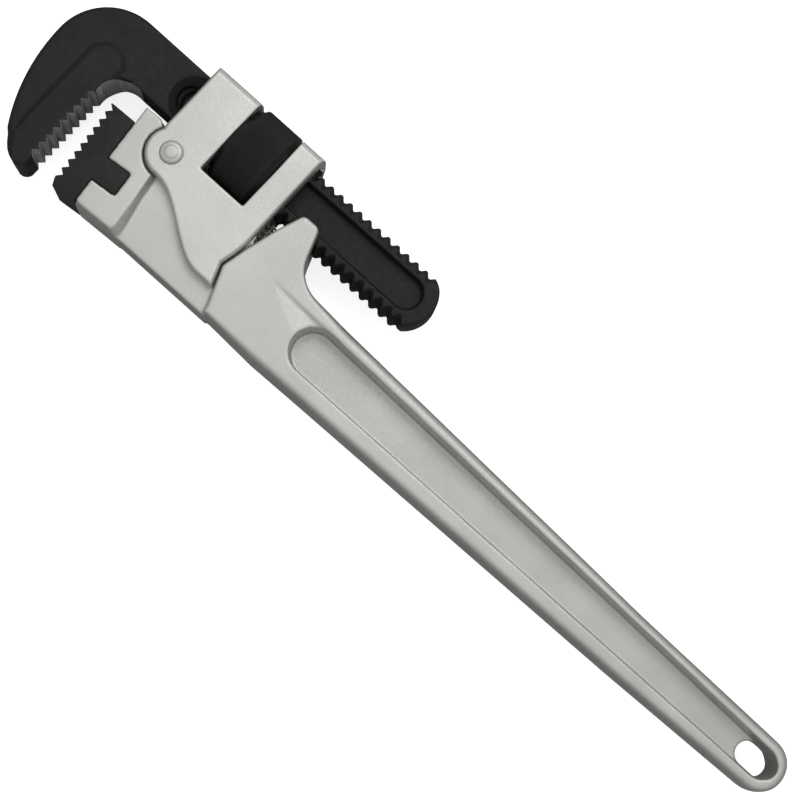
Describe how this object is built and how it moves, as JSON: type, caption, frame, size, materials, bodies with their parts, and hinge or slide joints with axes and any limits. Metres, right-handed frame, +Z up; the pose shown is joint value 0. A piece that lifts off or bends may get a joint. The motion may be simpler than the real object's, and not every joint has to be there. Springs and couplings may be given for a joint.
{
  "type": "pipe wrench",
  "caption": "Straight pipe wrench with an aluminium I-section handle, a hook jaw on a threaded shank, a knurled adjusting nut, a pivoting frame and a toothed lower jaw.",
  "frame": {"origin": "middle of the bounding box, on the surface that the wrench lies on", "axes": "+X along the handle towards the jaws, +Y towards the open side of the jaws, +Z up through the wrench's flat side"},
  "size_m": [0.4054, 0.0846, 0.0376],
  "materials": {
    "cast_aluminium": "fine shot-blasted casting, satin",
    "black_steel": "black oxide on forged steel, matt",
    "rivet_steel": "plated, satin",
    "spring_steel": "bright drawn wire and strip"
  },
  "bodies": {
    "handle_body": {"handle": "cast_aluminium", "lower_jaw": "black_steel", "lower_jaw_pin": "rivet_steel", "frame_pin": "rivet_steel", "coil_spring": "spring_steel"},
    "frame_body": {"frame": "cast_aluminium", "leaf_spring": "spring_steel", "leaf_spring_stud": "spring_steel"},
    "nut_body": {"round_nut": "black_steel"},
    "hook_body": {"hook_jaw": "black_steel"}
  },
  "joints": [
    {"name": "frame_pivot", "type": "hinge", "parent": "handle_body", "child": "frame_body", "pos_m": [0.13475, -0.0013, 0.0188], "axis": [0, 0, 1], "range_deg": [-6, 0], "stiffness_Nm_per_rad": 0.5, "springref_deg": 14.32, "deforming": ["coil_spring"]},
    {"name": "nut_spin", "type": "hinge", "parent": "frame_body", "child": "nut_body", "pos_m": [0.1112, -0.0235, 0.0188], "axis": [1, 0, 0], "range_deg": [-3313, 591]},
    {"name": "jaw_slide", "type": "slide", "parent": "frame_body", "child": "hook_body", "axis": [1, 0, 0], "range_m": [-0.0082, 0.046]}
  ],
  "couplings": [
    {"joint": "nut_spin", "follows": "jaw_slide", "rad_per_m": -1256.6}
  ]
}
